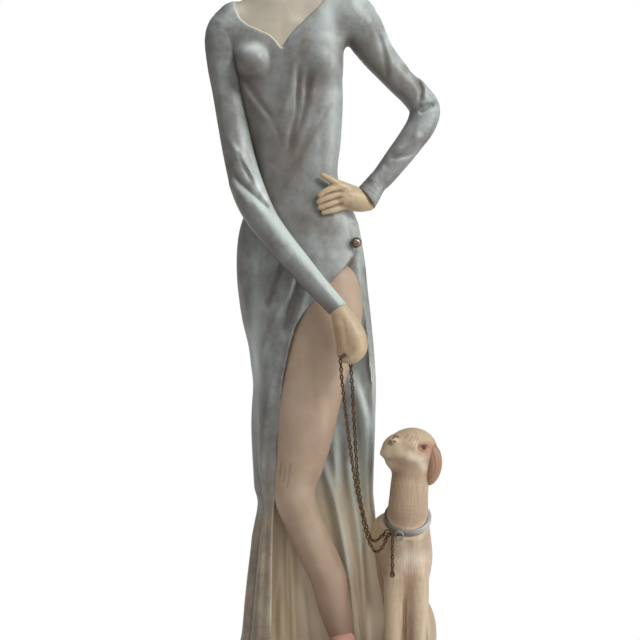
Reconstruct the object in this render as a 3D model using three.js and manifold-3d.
// A standing lady in a long gown with a seated dog on a chain leash, on an oval base.
// Millimetres, +Z up, the front faces -Y, the origin is under the middle of the base.
import * as THREE from 'three';
import { mergeVertices } from 'three/addons/utils/BufferGeometryUtils.js';
import Module from 'manifold-3d';

const wasm = await Module();
wasm.setup();

const gap = 0.3; // clearance where one casting is let into another
const baseLength = 128;
const baseDepth = 92;
const baseTop = 16;
const baseEdgeRound = 3;
const feltThickness = 1.2;
const feltInset = 2.5;
const waistHeight = 268; // where the bodice and skirt castings meet
const neckX = -24.5;
const chinHeight = 373;
const headHeight = 44;
const tableWaist = 268; // level in the tables of the body that stays when the chin moves
const tableTorso = 105; // from there up to the tables' chin
const ballRadius = 2.75;
const linkPitch = 3;
const linkWire = 0.6;
const linkWidth = 2.3;
const linkBite = 0.08; // how far neighbouring links press into each other
const eyeRadius = 2;
const eyeWire = 0.55;
const ringRadius = 2.6;
const ringWire = 0.4;
const endLinkRadius = 1.7;
const tailLinkRadius = 1.2;
const endLinkWire = 0.3;
const screwShank = 3.2;
const screwHead = 7;
const dowelDiameter = 5;
const rodDiameter = 3;

function solid(geometry) {
  const bare = geometry.clone();
  for (const name of Object.keys(bare.attributes)) {
    if (name !== 'position') bare.deleteAttribute(name);
  }
  const merged = mergeVertices(bare, 1e-4);
  return new wasm.Manifold(new wasm.Mesh({
    numProp: 3,
    vertProperties: new Float32Array(merged.attributes.position.array),
    triVerts: new Uint32Array(merged.index.array),
  }));
}

// closed skin over rings with equal point counts, fanned shut at both ends
function skin(rings) {
  const count = rings[0].length;
  const points = rings.flat();
  const faces = [];
  for (let ring = 0; ring + 1 < rings.length; ring += 1) {
    for (let step = 0; step < count; step += 1) {
      const a = ring * count + step;
      const b = ring * count + (step + 1) % count;
      faces.push(a, b, b + count, a, b + count, a + count);
    }
  }
  for (const [ring, flip] of [[0, true], [rings.length - 1, false]]) {
    const middle = new THREE.Vector3();
    rings[ring].forEach((point) => middle.add(point));
    middle.divideScalar(count);
    const hub = points.length;
    points.push(middle);
    for (let step = 0; step < count; step += 1) {
      const a = ring * count + step;
      const b = ring * count + (step + 1) % count;
      if (flip) faces.push(hub, b, a);
      else faces.push(hub, a, b);
    }
  }
  const geometry = new THREE.BufferGeometry().setFromPoints(points);
  geometry.setIndex(faces);
  const made = solid(geometry);
  if (made.volume() > 0) return made;
  const turned = [];
  for (let at = 0; at < faces.length; at += 3) turned.push(faces[at], faces[at + 2], faces[at + 1]);
  geometry.setIndex(turned);
  return solid(geometry);
}

// smooth values between the rows of a table whose first column rises or falls steadily
function between(rows, at) {
  const rising = rows[rows.length - 1][0] > rows[0][0];
  let row = 0;
  while (row < rows.length - 2 && (rising ? at > rows[row + 1][0] : at < rows[row + 1][0])) row += 1;
  const share = THREE.MathUtils.clamp((at - rows[row][0]) / (rows[row + 1][0] - rows[row][0]), 0, 1);
  const before = rows[Math.max(row - 1, 0)];
  const after = rows[Math.min(row + 2, rows.length - 1)];
  return rows[row].map((value, column) => {
    const here = rows[row][column];
    const next = rows[row + 1][column];
    const slopeIn = (next - before[column]) / 2;
    const slopeOut = (after[column] - here) / 2;
    const s2 = share * share;
    const s3 = s2 * share;
    return here * (2 * s3 - 3 * s2 + 1) + slopeIn * (s3 - 2 * s2 + share)
      + next * (3 * s2 - 2 * s3) + slopeOut * (s3 - s2);
  });
}

// a height from the tables, with what lies above the waist fitted to the chin
function raised(z) {
  if (z <= tableWaist) return z;
  return tableWaist + (z - tableWaist) * (chinHeight - tableWaist) / tableTorso;
}
const raisedLine = (outline) => outline.map(([x, z]) => [x, raised(z)]);
const raisedLimb = (rows) => rows.map(([x, y, z, radius]) => [x, y, raised(z), radius]);

const power = (value, exponent) => Math.sign(value) * Math.abs(value) ** exponent;

// level sections: rows of height, left x, right x, front y, back y
function stack(rows, options) {
  const { levels, around, grow = 0, square = 2.3, wave = () => 0 } = options;
  const low = rows[0][0];
  const high = rows[rows.length - 1][0];
  const rings = [];
  for (let level = 0; level <= levels; level += 1) {
    const z = low + (high - low) * level / levels;
    const [, left, right, front, back] = between(rows, z);
    const middleX = (left + right) / 2;
    const middleY = (front + back) / 2;
    const ring = [];
    for (let step = 0; step < around; step += 1) {
      const angle = 2 * Math.PI * step / around;
      const out = grow + wave(angle, z);
      const x = middleX + ((right - left) / 2 + out) * power(Math.cos(angle), 2 / square);
      const y = middleY + ((back - front) / 2 + out) * power(Math.sin(angle), 2 / square);
      ring.push(new THREE.Vector3(x, y, z));
    }
    rings.push(ring);
  }
  return skin(rings);
}

// round limb through rows of x, y, z, radius, with domed ends
function limb(rows, options = {}) {
  const { sides = 12, steps = 14, grow = 0, dome = [true, true], flat = 1 } = options;
  const curve = new THREE.CatmullRomCurve3(rows.map((row) => new THREE.Vector3(...row)));
  const frames = curve.computeFrenetFrames(steps, false);
  const rings = [];
  const place = (share, frame, radius, shift) => {
    const centre = curve.getPointAt(share).addScaledVector(frames.tangents[frame], shift);
    const ring = [];
    for (let side = 0; side < sides; side += 1) {
      const angle = 2 * Math.PI * side / sides;
      ring.push(centre.clone()
        .addScaledVector(frames.normals[frame], radius * Math.cos(angle))
        .addScaledVector(frames.binormals[frame], radius * flat * Math.sin(angle)));
    }
    rings.push(ring);
  };
  const table = rows.map((row, index) => [index / (rows.length - 1), row[3]]);
  const radiusAt = (share) => {
    const raw = curve.getUtoTmapping(share);
    return between(table, raw)[1] + grow;
  };
  if (dome[0]) {
    for (const turn of [0.25, 0.6]) {
      const angle = turn * Math.PI / 2;
      place(0, 0, radiusAt(0) * Math.sin(angle), -radiusAt(0) * Math.cos(angle));
    }
  } else if (grow > 0) {
    place(0, 0, radiusAt(0), -grow);
  }
  for (let step = 0; step <= steps; step += 1) place(step / steps, step, radiusAt(step / steps), 0);
  if (dome[1]) {
    for (const turn of [0.6, 0.25]) {
      const angle = turn * Math.PI / 2;
      place(1, steps, radiusAt(1) * Math.sin(angle), radiusAt(1) * Math.cos(angle));
    }
  } else if (grow > 0) {
    place(1, steps, radiusAt(1), grow);
  }
  return skin(rings);
}

function ball(centre, radii, across = 14, down = 10) {
  const shape = new THREE.SphereGeometry(1, across, down);
  shape.scale(...radii);
  shape.translate(...centre);
  return solid(shape);
}

function pin(from, to, radius, sides = 10) {
  const start = new THREE.Vector3(...from);
  const end = new THREE.Vector3(...to);
  const shape = new THREE.CylinderGeometry(radius, radius, start.distanceTo(end), sides);
  shape.rotateX(Math.PI / 2);
  const along = end.clone().sub(start);
  along.normalize();
  shape.applyQuaternion(new THREE.Quaternion().setFromUnitVectors(new THREE.Vector3(0, 0, 1), along));
  shape.translate(...start.add(end).multiplyScalar(0.5).toArray());
  return solid(shape);
}

function plate(outline, fromY, toY) {
  const shape = new THREE.Shape(outline.map(([x, z]) => new THREE.Vector2(x, z)));
  const body = new THREE.ExtrudeGeometry(shape, { depth: toY - fromY, bevelEnabled: false });
  body.rotateX(Math.PI / 2);
  body.translate(0, toY, 0);
  return solid(body);
}

const join = (parts) => parts.reduce((all, next) => all.add(next));

const waistSides = [-38.5, 3.5, -13.5, 13];
const chestRows = [
  [286, -40, 5, -14, 13.5],
  [306, -45, 6, -15, 14.5],
  [318, -47.5, 5.8, -16, 15],
  [331, -51, 6.5, -15.5, 15.5],
  [341, -52, 14, -13.5, 15],
  [349, -49, 19, -11.5, 13.5],
  [356, -45, 17.5, -10, 12],
  [362, -40, 8, -9, 11],
  [366, -36.5, -9, -8.5, 10.5],
];
const bodiceRows = [
  [waistHeight, ...waistSides],
  ...chestRows.map(([z, ...sides]) => [raised(z), ...sides]),
];
const bustSide = 17;
const bustHeight = raised(325);
const bustSwell = 6.5;

function bodiceWave(angle, z) {
  if (Math.sin(angle) > 0) return 0;
  const swell = (side) => {
    const across = (Math.cos(angle) * 28 - side) / 9;
    const up = (z - bustHeight) / 8;
    return bustSwell * Math.exp(-(across * across + up * up)) * -Math.sin(angle);
  };
  return swell(-bustSide) + swell(bustSide);
}

const skirtRows = [
  [baseTop + gap, -49.5, 29.5, -32, 33],
  [36, -45, 28, -30.5, 31.5],
  [56, -43, 27, -29, 30],
  [86, -39.5, 23.5, -27.5, 27],
  [103, -37, 21.5, -27, 26],
  [111, -38.5, 21, -27, 25.5],
  [141, -40, 22, -27, 25],
  [164, -39.5, 22.5, -26.5, 24.5],
  [181, -41.5, 21.5, -25.5, 24],
  [196, -45, 20, -24.5, 24],
  [211, -47, 18.5, -23, 24],
  [223, -47.5, 17.5, -20.5, 23],
  [236, -47, 15.5, -18, 21],
  [245, -45, 13.5, -16.5, 18.5],
  [255, -41, 9, -14.8, 15.5],
  [waistHeight - gap, ...waistSides],
];
const foldDepth = 1.9;
const foldCount = 8;

function skirtWave(angle, z) {
  const hang = THREE.MathUtils.smoothstep(235 - z, 0, 190);
  return foldDepth * hang * (Math.cos(foldCount * angle + 0.9 * Math.sin(2 * angle)) - 0.6);
}

// opening of the slit: height, left edge, right edge, wall behind the leg
const slitRows = [
  [-10, -31.5, 60, -4],
  [36, -31.5, 58, -4],
  [101, -30.5, 54, -5],
  [131, -29.2, 50, -6],
  [151, -26.5, 44, -7],
  [164, -22.5, 34, -8],
  [171, -20.5, 21.5, -9],
  [183.5, -16.5, 19, -10],
  [193.5, -13, 17.8, -10],
  [205, -6.5, 16.6, -10],
  [212.5, -0.5, 15.9, -9.5],
  [218.5, 4.5, 15.2, -8.5],
  [225, 9.5, 14.4, -6.5],
  [230, 12.6, 13.6, -5.5],
];

function slitOpening() {
  const rings = [];
  const levels = 12;
  for (let level = 0; level <= levels; level += 1) {
    const z = slitRows[0][0] + (slitRows[slitRows.length - 1][0] - slitRows[0][0]) * level / levels;
    const [, left, right, wall] = between(slitRows, z);
    rings.push([
      new THREE.Vector3(left, wall, z),
      new THREE.Vector3(left, -70, z),
      new THREE.Vector3(right, -70, z),
      new THREE.Vector3(right, wall, z),
    ]);
  }
  return skin(rings);
}

const rightSleeveRows = [
  [-49, 1, 347.5, 8],
  [-54, 0.5, 339, 9.3],
  [-54.2, -0.5, 325, 8.2],
  [-52, -2, 311, 7.7],
  [-49.2, -4.5, 294, 7.6],
  [-45.6, -8, 276, 7.8],
  [-41, -12, 260, 8.3],
  [-35, -17.5, 247.5, 7.6],
  [-26, -23.5, 235.5, 6.8],
  [-17.5, -28, 225.5, 6.2],
  [-8, -32, 214.5, 5.6],
  [2.2, -35.2, 203.2, 5],
];
const leftSleeveRows = [
  [9.5, 1, 349.5, 9.6],
  [15, 1, 343.5, 10.6],
  [22, 1, 331.5, 8.8],
  [28.5, 1.5, 323.5, 7.8],
  [35, 2, 316.5, 7.4],
  [42, 2.5, 309.5, 7.3],
  [47.2, 2.5, 302.5, 7.8],
  [45.8, 2, 294.5, 7.4],
  [40, 0.5, 285.5, 6.8],
  [33.5, -1.5, 277, 6.3],
  [26.5, -3.7, 268, 5.6],
  [22.6, -5.2, 264, 5.3],
  [17.4, -7, 256.7, 6.4],
];
const legRows = [
  [5, -9.2, 38, 6.2],
  [3.2, -10.2, 46, 7.7],
  [0.9, -12, 56, 8.6],
  [-1.1, -13.6, 66, 9.1],
  [-5.2, -15.4, 76, 9.4],
  [-9.8, -17.2, 86, 9.3],
  [-13.9, -18.8, 96, 9.4],
  [-17, -20, 103.5, 9.9],
  [-18, -20.6, 110, 10.1],
  [-17.4, -20.4, 117, 10.6],
  [-15.2, -19, 126, 12.1],
  [-12.6, -16.6, 141, 14.1],
  [-10.4, -14, 156, 15],
  [-7.4, -11.6, 173.5, 15.8],
  [-3, -8.8, 191, 16.8],
  [-1.2, -7, 204, 15.8],
  [-1, -5, 214, 12.5],
];
const leftPalmRows = [
  [17.4, -7.2, 256.2, 4.4],
  [14.4, -8.6, 255.9, 5],
  [10, -10.4, 256.7, 5.4],
  [6, -11.6, 256.8, 5.4],
];
const leftHeelRows = [
  [19, -7.6, 252.9, 2.4],
  [12.6, -9, 253.6, 3],
];
const leftFingerRows = [
  [[6, -12.6, 261.6, 2.2], [0, -15, 261.2, 1.9], [-5.4, -16.2, 258.2, 1.5]],
  [[5.6, -13, 258.6, 2.1], [-1, -15.6, 257.2, 1.9], [-6, -16.4, 255, 1.5]],
  [[5.6, -12.8, 255.3, 2.1], [-0.5, -15.4, 253.6, 1.8], [-5.5, -16.2, 252, 1.4]],
  [[6.4, -12.2, 252.8, 1.9], [1.2, -14.6, 250.9, 1.6], [-3.8, -15.6, 249.5, 1.2]],
];
const leftThumbRows = [
  [11, -10, 260, 3],
  [3.4, -13, 264, 2.1],
  [-4.2, -14.6, 268.1, 1.3],
];
const rightPalmRows = [
  [2.9, -35.4, 202.8, 4.2],
  [6.2, -36.6, 197.6, 5.2],
  [9.4, -37.8, 190.5, 6.7],
  [10.6, -38.2, 185.5, 7.1],
];
const rightFingerRows = [0, 1, 2, 3].map((finger) => [
  [12.2 - 0.4 * finger, -42.4 + 3.1 * finger, 186, 2.5 - 0.1 * finger],
  [12 - 0.6 * finger, -42.6 + 3.1 * finger, 180.6, 2.4 - 0.1 * finger],
  [7.6 - 0.6 * finger, -42.4 + 3.1 * finger, 178.6, 2.1 - 0.1 * finger],
]);
const rightThumbRows = [
  [4, -38.2, 197, 3],
  [4.6, -40.8, 189, 2.8],
  [6.4, -41.8, 182.4, 2.2],
];

const dogTorsoRows = [
  [40, 15, 33, 15],
  [39.4, 8, 48, 14.6],
  [38, 0, 62, 14.4],
  [37, -7, 76, 14.4],
  [37.4, -10.6, 86, 12.8],
  [38.3, -13.6, 97, 10.8],
  [38.8, -15.6, 106, 9.8],
  [39.2, -16, 113, 9.5],
  [39.6, -15.8, 119, 9],
];
const skull = [40.5, -14.5, 128.6];
const muzzleRows = [
  [40, -15, 129.6, 10.6],
  [34, -19, 131.2, 8.6],
  [30.6, -21.6, 131.4, 6.4],
];
const leftEarRows = [
  [49.6, -14.6, 132.4, 3.4],
  [52, -15.4, 126, 4.8],
  [51, -15.6, 118.6, 3.4],
];
const rightEarRows = [
  [43.6, -4.6, 133.4, 3.2],
  [45, -1.6, 126, 4.6],
  [44.6, -1.2, 118.6, 3.2],
];

const neckLean = new THREE.Vector3(0, -0.62, 0.78).normalize();
const collarCentre = new THREE.Vector3(38.4, -14.2, 97);
const collarInner = 10.9;
const collarOut = 12.9;
const eyeStand = 2.4153; // from the collar's outside to the middle of the eye
const eyeAway = new THREE.Vector3(-4.8, -12.4, -7.6).setLength(collarOut + eyeStand);
const collarEye = collarCentre.clone().add(eyeAway);
const ringLean = new THREE.Vector3(-0.97, 0, 0.243).normalize();
const ringCentre = collarEye.clone().addScaledVector(ringLean, 0.6 + ringRadius);
const ringFar = collarEye.clone().addScaledVector(ringLean, 0.6 + 2 * ringRadius);
const gripX = 6.9;
const gripY = -38;
// height along the hanging plane; the plane runs from the grip to the ring
const planeY = (x) => THREE.MathUtils.mapLinear(x, gripX, ringFar.x, gripY, ringFar.y);
const frontStrand = [
  [3.9, 176.6], [4.5, 168], [5.6, 158.5], [7, 147], [8.6, 135], [10.2, 123], [12.2, 112],
  [14.4, 102.5], [16, 94], [18.6, 86.2], [21.6, 81.2], [25, 83.6],
];
const rearStrand = [
  [10.2, 174.6], [11, 164], [11.6, 152], [12.3, 140], [13, 128], [14, 116],
  [15.6, 105], [17.6, 96.4], [20.4, 89], [22.4, 88.4],
];

function link(from, to, normal, pitchBite) {
  const along = to.clone().sub(from);
  const reachOut = linkWire * 0.7; // corners of the three-sided wire
  const length = along.length() + reachOut - pitchBite;
  along.normalize();
  const across = new THREE.Vector3().crossVectors(normal, along).normalize();
  const up = new THREE.Vector3().crossVectors(along, across);
  const centre = from.clone().add(to).multiplyScalar(0.5);
  const half = length / 2;
  const side = (linkWidth - linkWire) / 2;
  const outline = [
    [half, side * 0.75], [0, side], [-half, side * 0.75],
    [-half, -side * 0.75], [0, -side], [half, -side * 0.75],
  ];
  const turns = outline.length;
  const corners = 3;
  const points = [];
  const faces = [];
  outline.forEach(([u, v], index) => {
    const before = outline[(index + turns - 1) % turns];
    const after = outline[(index + 1) % turns];
    const arriving = new THREE.Vector2(u - before[0], v - before[1]).normalize();
    const leaving = new THREE.Vector2(after[0] - u, after[1] - v).normalize();
    const slope = arriving.clone().add(leaving).normalize();
    const mitre = 1 / slope.dot(arriving);
    const out = new THREE.Vector2(-slope.y, slope.x).multiplyScalar(mitre);
    for (let corner = 0; corner < corners; corner += 1) {
      const angle = Math.PI + 2 * Math.PI * corner / corners;
      const reach = reachOut * Math.cos(angle);
      const rise = reachOut * Math.sin(angle);
      points.push(centre.clone()
        .addScaledVector(along, u + out.x * reach)
        .addScaledVector(across, v + out.y * reach)
        .addScaledVector(up, rise));
    }
  });
  for (let ring = 0; ring < turns; ring += 1) {
    for (let corner = 0; corner < corners; corner += 1) {
      const a = ring * corners + corner;
      const b = ring * corners + (corner + 1) % corners;
      const c = ((ring + 1) % turns) * corners + (corner + 1) % corners;
      const d = ((ring + 1) % turns) * corners + corner;
      faces.push(a, b, c, a, c, d);
    }
  }
  const geometry = new THREE.BufferGeometry().setFromPoints(points);
  geometry.setIndex(faces);
  const made = solid(geometry);
  if (made.volume() > 0) return made;
  const turned = [];
  for (let at = 0; at < faces.length; at += 3) turned.push(faces[at], faces[at + 2], faces[at + 1]);
  geometry.setIndex(turned);
  return solid(geometry);
}

// a chain of links whose joints lie on the route, then a round link at its end
function chain(route, planeNormal) {
  const curve = new THREE.CatmullRomCurve3(route);
  const count = Math.round(curve.getLength() / linkPitch);
  const joints = curve.getSpacedPoints(count);
  const parts = [];
  for (let index = 0; index < count; index += 1) {
    const along = joints[index + 1].clone().sub(joints[index]).normalize();
    const side = new THREE.Vector3().crossVectors(along, planeNormal).normalize();
    const turn = (index % 2 ? 1 : -1) * Math.PI / 4;
    const normal = planeNormal.clone().multiplyScalar(Math.cos(turn)).addScaledVector(side, Math.sin(turn));
    parts.push(link(joints[index], joints[index + 1], normal, linkBite));
  }
  return { body: join(parts), end: joints[count] };
}

function hoop(centre, axis, radius, wire, around = 12, sides = 4) {
  const shape = new THREE.TorusGeometry(radius, wire, sides, around);
  shape.applyQuaternion(new THREE.Quaternion().setFromUnitVectors(
    new THREE.Vector3(0, 0, 1), new THREE.Vector3(...axis).normalize()));
  shape.translate(centre.x, centre.y, centre.z);
  return solid(shape);
}

const finish = (colour, roughness, metalness) => new THREE.MeshStandardMaterial({
  color: colour, roughness, metalness,
});
const gownPaint = finish('#7f8a8d', 0.38, 0);
const fleshPaint = finish('#c4b096', 0.42, 0);
const handPaint = finish('#c9b48c', 0.42, 0);
const hairPaint = finish('#5c4030', 0.5, 0);
const shoePaint = finish('#c08078', 0.4, 0);
const dogPaint = finish('#b8a488', 0.5, 0);
const earPaint = finish('#8f6a52', 0.5, 0);
const collarPaint = finish('#8c8480', 0.45, 0);
const basePaint = finish('#4a3f36', 0.4, 0);
const feltCloth = finish('#2f3b33', 0.95, 0);
const oldBrass = finish('#5a4632', 0.45, 0.9);
const bronze = finish('#8a6a50', 0.35, 0.9);
const steel = finish('#8d8f92', 0.4, 1);
const beech = finish('#c09a68', 0.7, 0);

const group = new THREE.Group();

function add(name, body, material) {
  const mesh = body.getMesh();
  const points = new Float32Array(mesh.numVert * 3);
  for (let index = 0; index < mesh.numVert; index += 1) {
    for (let axis = 0; axis < 3; axis += 1) {
      points[3 * index + axis] = mesh.vertProperties[mesh.numProp * index + axis];
    }
  }
  const geometry = new THREE.BufferGeometry();
  geometry.setAttribute('position', new THREE.BufferAttribute(points, 3));
  geometry.setIndex(new THREE.BufferAttribute(new Uint32Array(mesh.triVerts), 1));
  geometry.computeVertexNormals();
  const shown = new THREE.Mesh(geometry, material);
  shown.name = name;
  group.add(shown);
}

const basePower = 2.5;
function ovalRing(length, depth, z, count = 28) {
  const ring = [];
  for (let step = 0; step < count; step += 1) {
    const angle = 2 * Math.PI * step / count;
    ring.push(new THREE.Vector3(length / 2 * power(Math.cos(angle), 2 / basePower),
      depth / 2 * power(Math.sin(angle), 2 / basePower), z));
  }
  return ring;
}
const plinthRings = [
  ovalRing(baseLength - 2, baseDepth - 2, feltThickness),
  ovalRing(baseLength, baseDepth, feltThickness + 1.5),
  ovalRing(baseLength, baseDepth, baseTop - baseEdgeRound),
  ovalRing(baseLength - 2, baseDepth - 2, baseTop - 0.9),
  ovalRing(baseLength - 2 * baseEdgeRound, baseDepth - 2 * baseEdgeRound, baseTop),
];
const felt = skin([
  ovalRing(baseLength - 2 * feltInset, baseDepth - 2 * feltInset, 0),
  ovalRing(baseLength - 2 * feltInset, baseDepth - 2 * feltInset, feltThickness),
]);

const screws = [
  { name: 'lady_screw_left', x: -32, y: 12, top: 42 },
  { name: 'lady_screw_right', x: 8, y: 16, top: 42 },
  { name: 'dog_screw', x: 42, y: 9, top: 34 },
];
const counterbore = 4;
function screwBody({ x, y, top }) {
  const seat = feltThickness + 1;
  const outline = [
    [0, seat], [screwHead / 2, seat], [screwHead / 2, seat + 0.6], [screwShank / 2, seat + counterbore - 1],
    [screwShank / 2, top - 3], [0, top],
  ].map(([radius, height]) => new THREE.Vector2(radius, height));
  const turned = new THREE.LatheGeometry(outline, 10);
  turned.rotateX(Math.PI / 2);
  turned.translate(x, y, 0);
  return solid(turned);
}
function screwHole({ x, y, top }) {
  return join([
    pin([x, y, feltThickness - 5], [x, y, feltThickness + counterbore + 0.6], screwHead / 2 + gap),
    pin([x, y, feltThickness], [x, y, top + 1], screwShank / 2 + gap),
  ]);
}
const rodX = 4.6;
const rodY = -9.4;
const rodLow = 7;
const rodHigh = 54;
const legRod = pin([rodX, rodY, rodLow], [rodX, rodY, rodHigh], rodDiameter / 2);
const rodHole = pin([rodX, rodY, rodLow - gap], [rodX, rodY, rodHigh + gap], rodDiameter / 2 + gap);
let plinth = skin(plinthRings).subtract(rodHole);
screws.forEach((screw) => { plinth = plinth.subtract(screwHole(screw)); });

add('base_felt', felt, feltCloth);
add('base_plinth', plinth, basePaint);

const leg = limb(legRows, { sides: 10, steps: 14 });
const legRoom = limb(legRows, { sides: 10, steps: 14, grow: gap });
function sleeveBody(rows, grow) {
  return limb(raisedLimb(rows), { sides: 10, steps: 11, grow, dome: [true, false] });
}
const rightSleeve = sleeveBody(rightSleeveRows, 0);
const rightSleeveRoom = sleeveBody(rightSleeveRows, gap);
const leftSleeve = sleeveBody(leftSleeveRows, 0);
const leftSleeveRoom = sleeveBody(leftSleeveRows, gap);

function leftHandBody(grow) {
  const fingers = leftFingerRows.map((rows) => limb(rows, { sides: 5, steps: 2, grow }));
  const palm = limb(leftPalmRows, { sides: 8, steps: 3, grow, dome: [false, true] });
  const thumb = limb(leftThumbRows, { sides: 5, steps: 2, grow });
  const heel = limb(leftHeelRows, { sides: 6, steps: 1, grow });
  return join([palm, heel, thumb, ...fingers]);
}
function rightHandBody(grow) {
  const fingers = rightFingerRows.map((rows) => limb(rows, { sides: 5, steps: 2, grow }));
  const palm = limb(rightPalmRows, { sides: 8, steps: 3, grow, dome: [false, true] });
  const thumb = limb(rightThumbRows, { sides: 5, steps: 2, grow });
  return join([palm, thumb, ...fingers]);
}

const torsoShape = { levels: 12, around: 20, wave: bodiceWave };
const torso = stack(bodiceRows, torsoShape);
const innerTorso = stack(bodiceRows, { ...torsoShape, grow: -0.8 });
const neckline = raisedLine([
  [-47.5, 380], [-47.5, 352], [-45.2, 346.6], [-41, 343.2], [-36, 341], [-31.5, 339], [-27.6, 335.6],
  [-24.6, 331.4], [-22.4, 335], [-18.5, 340.5], [-13, 346], [-7, 351.6], [-3, 357], [-1, 380],
]);
const backLine = raisedLine([
  [-60, 380], [-60, 364], [-44, 355], [-34, 350.5], [-24.5, 349.5],
  [-14, 351], [-5, 356.5], [10, 368], [10, 380],
]);
function shrink(outline, by) {
  return outline.map(([x, z]) => {
    const off = x - neckX;
    return [Math.abs(off) > 1 ? x - Math.sign(off) * by : x, z + by * 1.3];
  });
}
const meetingY = 2; // where the front of the neckline passes into the back
const openFront = plate(neckline, -60, meetingY);
const openBack = plate(backLine, meetingY - 0.1, 60);
const opening = openFront.add(openBack);
const skinBack = plate(shrink(backLine, gap), meetingY - 0.1 + gap, 60);
const skinFront = plate(shrink(neckline, gap), -60, meetingY - gap);
const neckRows = raisedLimb([
  [neckX - 0.2, 2.4, 350, 12],
  [neckX, 1.6, 360, 10.8],
  [neckX + 0.3, 0.4, 370, 10.1],
]);
neckRows.push([neckX + 0.6, -0.2, chinHeight + 7, 9.8]);
const neckBody = (grow) => limb(neckRows, { sides: 12, steps: 2, grow, dome: [false, false] });
const neck = neckBody(0);
const neckRoom = neckBody(gap);
const chest = innerTorso.intersect(skinFront.add(skinBack)).add(neck);

// a wooden dowel and the hole for it, which is longer and wider by the clearance
function dowel(from, to) {
  const start = new THREE.Vector3(...from);
  const end = new THREE.Vector3(...to);
  const out = end.clone().sub(start).normalize().multiplyScalar(gap);
  return {
    body: pin(from, to, dowelDiameter / 2),
    room: pin(start.sub(out).toArray(), end.add(out).toArray(), dowelDiameter / 2 + gap),
  };
}
const neckDowel = dowel([neckX + 0.5, 0, chinHeight - 3], [neckX + 0.5, 0, chinHeight + 19]);
const rightDowel = dowel([-56, 0.6, raised(337)], [-42, 1.6, raised(343)]);
const leftDowel = dowel([3, 1.4, raised(341)], [19, 1, raised(339)]);

const leftHand = leftHandBody(0).subtract(leftSleeveRoom);
const leftHandRoom = leftHandBody(gap);
const rightHand = rightHandBody(0).subtract(rightSleeveRoom);

const bodice = torso.subtract(opening)
  .subtract(rightSleeveRoom)
  .subtract(leftSleeveRoom)
  .subtract(leftHandRoom)
  .subtract(rightDowel.room)
  .subtract(leftDowel.room)
  .subtract(neckRoom);

const ballCentre = [12.6, -12.6, 234.6];
function buttonBody(grow) {
  const radius = ballRadius + grow;
  const shank = pin(ballCentre, [10.8 - grow / 3, -6 + grow, 234.4], 0.9 + grow, 6);
  return ball(ballCentre, [radius, radius, radius], 10, 7).add(shank);
}
const button = buttonBody(0);
const buttonRoom = buttonBody(gap);

const skirtShape = { levels: 16, around: 40, wave: skirtWave };
let skirt = stack(skirtRows, skirtShape)
  .subtract(slitOpening())
  .subtract(legRoom)
  .subtract(rightSleeveRoom)
  .subtract(leftSleeveRoom)
  .subtract(leftHandRoom)
  .subtract(buttonRoom);
screws.forEach((screw) => { skirt = skirt.subtract(screwHole(screw)); });

const headRows = [
  [0, -5, 5, -16.4, -8],
  [2.5, -8, 8, -17.6, -2],
  [7, -10.8, 10.8, -17.6, 6],
  [12, -12.6, 12.6, -17.6, 12],
  [18, -13.7, 13.7, -17.2, 16],
  [24, -14.4, 14.4, -17.2, 18],
  [31, -14.2, 14.2, -17, 18],
  [37, -12.6, 12.6, -14.6, 15.6],
  [41.5, -9, 9, -10.4, 11],
  [headHeight, -3.5, 3.5, -4, 5],
];
const hairRows = [
  [4, -12.5, 12.5, -4, 15],
  [9, -15.6, 15.6, -9, 18.5],
  [16, -16.8, 16.8, -12, 20.4],
  [24, -17.2, 17.2, -15.6, 21],
  [32, -16.8, 16.8, -18.4, 20.6],
  [38, -15, 15, -16.6, 18.4],
  [43, -11, 11, -12, 13.6],
  [headHeight + 2, -5, 5, -6, 7],
];
const placeHead = (body) => body.translate([neckX + 0.5, 0, chinHeight]);
const nose = limb([[0, -17, 25, 1.2], [0, -18.4, 18, 1.6], [0, -18.6, 15.4, 2.1]], { sides: 8, steps: 4 });
const headShape = stack(headRows, { levels: 9, around: 16, square: 2.15 }).add(nose);
const headRoom = stack(headRows, { levels: 9, around: 16, square: 2.15, grow: gap });
const faceRows = [[0, -30, 15, 10.4], [0, -3.5, 14, 10.4]];
const faceOpening = limb(faceRows, { sides: 12, steps: 1, dome: [false, false], flat: 1.55 });
const waveHeight = 8; // from one set wave of the hair to the next
const waveDepth = 0.7;
function hairWave(angle, z) {
  const turn = 2 * Math.PI * (z / waveHeight + 0.2 * Math.cos(2 * angle));
  return waveDepth * (Math.cos(turn) - 1) / 2;
}
const chignon = ball([0, 17.5, 12], [8.5, 6, 7], 8, 5);
const hairShape = stack(hairRows, { levels: 16, around: 16, square: 2.15, wave: hairWave })
  .add(chignon)
  .subtract(headRoom)
  .subtract(faceOpening);
const head = placeHead(headShape).subtract(neckRoom).subtract(neckDowel.room);
const hair = placeHead(hairShape).subtract(neckRoom);
const chestCast = chest.subtract(neckDowel.room).subtract(rightSleeveRoom).subtract(leftSleeveRoom);

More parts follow.
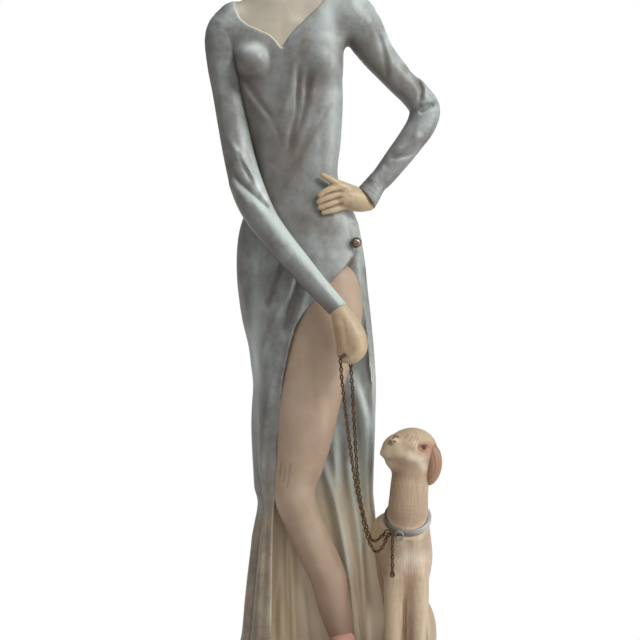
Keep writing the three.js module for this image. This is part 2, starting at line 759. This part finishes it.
const toeY = -41;
const heelY = -2;
const shoeRows = [
  [heelY, 3.2, 27.5, 31],
  [heelY - 3, 6.2, 26.6, 36],
  [heelY - 9, 6.8, 25.4, 40],
  [heelY - 15, 6.6, 22.4, 37],
  [heelY - 21, 6.8, 18.4, 31.5],
  [heelY - 27, 7.4, baseTop + gap, 27],
  [heelY - 33, 7, baseTop + gap, 23.6],
  [heelY - 37, 4.6, baseTop + gap, 21],
  [toeY, 1.6, baseTop + gap + 0.4, 18.4],
];
const footTurn = 0.1;
const heelRows = [[5.4, -6.4, baseTop + gap, 2.4], [5.3, -6, 21, 2.5], [5.2, -6, 29, 4.4]];
function shoeBody(grow) {
  const rings = shoeRows.map(([y, half, low, high], index) => {
    const ring = [];
    const centreX = 5 + (heelY - y) * footTurn;
    const end = index === 0 ? grow : index === shoeRows.length - 1 ? -grow : 0;
    for (let step = 0; step < 10; step += 1) {
      const angle = 2 * Math.PI * step / 10;
      const x = centreX + (half + grow) * power(Math.cos(angle), 0.85);
      const z = (low + high) / 2 + ((high - low) / 2 + grow) * power(Math.sin(angle), 0.75);
      ring.push(new THREE.Vector3(x, y + end, z));
    }
    return ring;
  });
  return skin(rings).add(limb(heelRows, { sides: 8, steps: 2, grow, dome: [false, false] }));
}
const shoe = shoeBody(0).subtract(legRoom).subtract(rodHole);

skirt = skirt.subtract(shoeBody(gap)).subtract(rodHole);

add('neck_and_chest', chestCast, fleshPaint);
add('head', head, fleshPaint);
add('hair', hair, hairPaint);
add('dress_bodice', bodice, gownPaint);
add('dress_skirt', skirt, gownPaint);
add('right_sleeve', rightSleeve.subtract(rightDowel.room), gownPaint);
add('left_sleeve', leftSleeve.subtract(leftDowel.room), gownPaint);
add('left_hand', leftHand, handPaint);
add('right_hand', rightHand, handPaint);
add('left_leg', leg.subtract(rodHole), fleshPaint);
add('left_shoe', shoe, shoePaint);
add('slit_button', button, bronze);
add('neck_dowel', neckDowel.body, beech);
add('right_shoulder_dowel', rightDowel.body, beech);
add('left_shoulder_dowel', leftDowel.body, beech);
add('leg_rod', legRod, steel);
screws.forEach((screw) => add(screw.name, screwBody(screw), steel));

const dogTorso = limb(dogTorsoRows, { sides: 12, steps: 8 });
const shoulder = ball([28.6, -8, 87], [9, 9, 11.5], 10, 6);
const haunches = [
  ball([46.2, 6, 38], [7.6, 15, 19], 8, 6),
  ball([33, 8, 36], [7.5, 15, 17], 8, 4),
];
const frontLegs = [31.2, 43.8].map((x) => limb([
  [x + (x > 38 ? -1 : 1.5), -15, 72, 6.6],
  [x, -20, 50, 5.4],
  [x, -22.5, 32, 4.3],
  [x, -23, 22, 4],
], { sides: 8, steps: 3 }));
const paws = [
  ball([31.2, -25.4, 20], [4.9, 7, 3.7], 8, 4),
  ball([43.8, -25.4, 20], [4.9, 7, 3.7], 8, 4),
  ball([49.4, -3, 20.4], [4.8, 9, 4.6], 8, 4),
  ball([31.6, -4, 20.4], [4.4, 8, 4.6], 8, 4),
];
const tailRows = [[41, 24, 24, 4], [36, 31, 19.8, 3], [27, 34.5, 19, 2.4], [18, 35, 18.6, 1.9]];
const tail = limb(tailRows, { sides: 5, steps: 5 });
const floor = plate([[-90, -40], [90, -40], [90, baseTop + gap], [-90, baseTop + gap]], -90, 90);
const skirtRoom = stack(skirtRows, { ...skirtShape, grow: gap });
const collarOuter = (grow) => {
  const start = collarCentre.clone().addScaledVector(neckLean, -1.7 - grow);
  const end = collarCentre.clone().addScaledVector(neckLean, 1.7 + grow);
  return { start, end };
};
function collarBand(inner, outer, grow) {
  const { start, end } = collarOuter(grow);
  const whole = pin(start.toArray(), end.toArray(), outer + grow, 20);
  if (inner <= 0) return whole;
  const { start: from, end: to } = collarOuter(grow + 2);
  return whole.subtract(pin(from.toArray(), to.toArray(), inner, 20));
}
const dogBody = join([dogTorso, shoulder, ...haunches, ...frontLegs, ...paws, tail])
  .subtract(floor)
  .subtract(skirtRoom)
  .subtract(collarBand(collarInner - gap, collarOut + 6, gap))
  .subtract(screwHole(screws[2]));

const headSeam = 117.4; // where the dog's head is glued to its neck
const aboveSeam = (low) => pin([39.4, -16, low], [39.4, -16, 160], 40, 24);
const earShape = (rows, grow) => limb(rows, { sides: 8, steps: 2, grow, flat: 0.5 });
const dogHead = join([
  ball(skull, [12.8, 11.6, 12], 12, 8),
  limb(muzzleRows, { sides: 10, steps: 2 }),
  limb([[39, -16, 112, 9], [39.4, -15.8, 120, 9.4]], { sides: 12, steps: 1, dome: [false, false] }),
]).intersect(aboveSeam(headSeam))
  .subtract(earShape(leftEarRows, gap))
  .subtract(earShape(rightEarRows, gap));
add('dog_body', dogBody.subtract(aboveSeam(headSeam - gap)), dogPaint);
add('dog_head', dogHead, dogPaint);
add('dog_left_ear', earShape(leftEarRows, 0), earPaint);
add('dog_right_ear', earShape(rightEarRows, 0), earPaint);

const eyeHoop = hoop(collarEye, [0, 1, 0], eyeRadius, eyeWire);
const bossRows = [[1.5, 1.7, 0.5, 1.3], [1.9, -0.1, 0.1, 0.9]]
  .map(([x, y, z, radius]) => [collarEye.x + x, collarEye.y + y, collarEye.z + z, radius]);
const eyeBoss = limb(bossRows, { sides: 6, steps: 1 });
add('dog_collar', collarBand(collarInner, collarOut, 0), collarPaint);
add('collar_eye', eyeHoop.add(eyeBoss).subtract(collarBand(0, collarOut, gap)), collarPaint);

const ringAxis = new THREE.Vector3().crossVectors(ringLean, new THREE.Vector3(0, 1, 0));
add('jump_ring', hoop(ringCentre, ringAxis.toArray(), ringRadius, ringWire), oldBrass);

const sideStep = 1.4; // half the distance between the two hanging strands
const hookStep = 0.78; // half the distance between their round end links
const planeNormal = new THREE.Vector3(gripY - ringFar.y, ringFar.x - gripX, 0).normalize();
const ringDown = ringAxis.clone().normalize();
const acrossY = new THREE.Vector3(0, 1, 0);
function strand(points, side, leave) {
  const hooked = ringFar.clone().addScaledVector(acrossY, side * hookStep).addScaledVector(ringDown, 0.2);
  const route = points.map(([x, z], index) => new THREE.Vector3(x, planeY(x), z)
    .addScaledVector(planeNormal, side * (index < points.length - 1 ? sideStep : 0.75 * sideStep)));
  const away = new THREE.Vector3(leave[0], 0, leave[1]).normalize();
  route.push(hooked.clone().addScaledVector(away, endLinkRadius));
  const { body } = chain(route, planeNormal);
  return body.add(hoop(hooked, [0, 1, 0], endLinkRadius, endLinkWire, 8, 4));
}
add('leash_front_strand', strand(frontStrand, -1, [-0.2, -0.98]), oldBrass);
add('leash_rear_strand', strand(rearStrand, 1, [-0.99, -0.1]), oldBrass);

const tailTurn = -85 * Math.PI / 180; // the tail hooks on the ring's side that faces forwards
const tailOut = ringLean.clone().multiplyScalar(Math.cos(tailTurn))
  .addScaledVector(acrossY, Math.sin(tailTurn));
const tailWire = ringCentre.clone().addScaledVector(tailOut, ringRadius);
const tailAcross = ringLean.clone().multiplyScalar(-Math.sin(tailTurn))
  .addScaledVector(acrossY, Math.cos(tailTurn));
const tailTop = tailWire.clone().add(new THREE.Vector3(0, 0, -0.15));
const tailLength = 23;
const tailRoute = [0, 1, 2, 3, 4].map((step) => tailTop.clone()
  .add(new THREE.Vector3(0, 0, -tailLinkRadius - tailLength * step / 4)));
const tailFace = new THREE.Vector3(tailAcross.x, tailAcross.y, 0).normalize();
const tailChain = chain(tailRoute, tailFace);
const tailEnd = hoop(tailChain.end.clone().add(new THREE.Vector3(0, 0, -1.2)), [0, 1, 0], 1.35, 0.45, 8, 4);
add('leash_tail', tailChain.body
  .add(hoop(tailTop, tailAcross.toArray(), tailLinkRadius, endLinkWire, 8, 4))
  .add(tailEnd), oldBrass);

export default group;
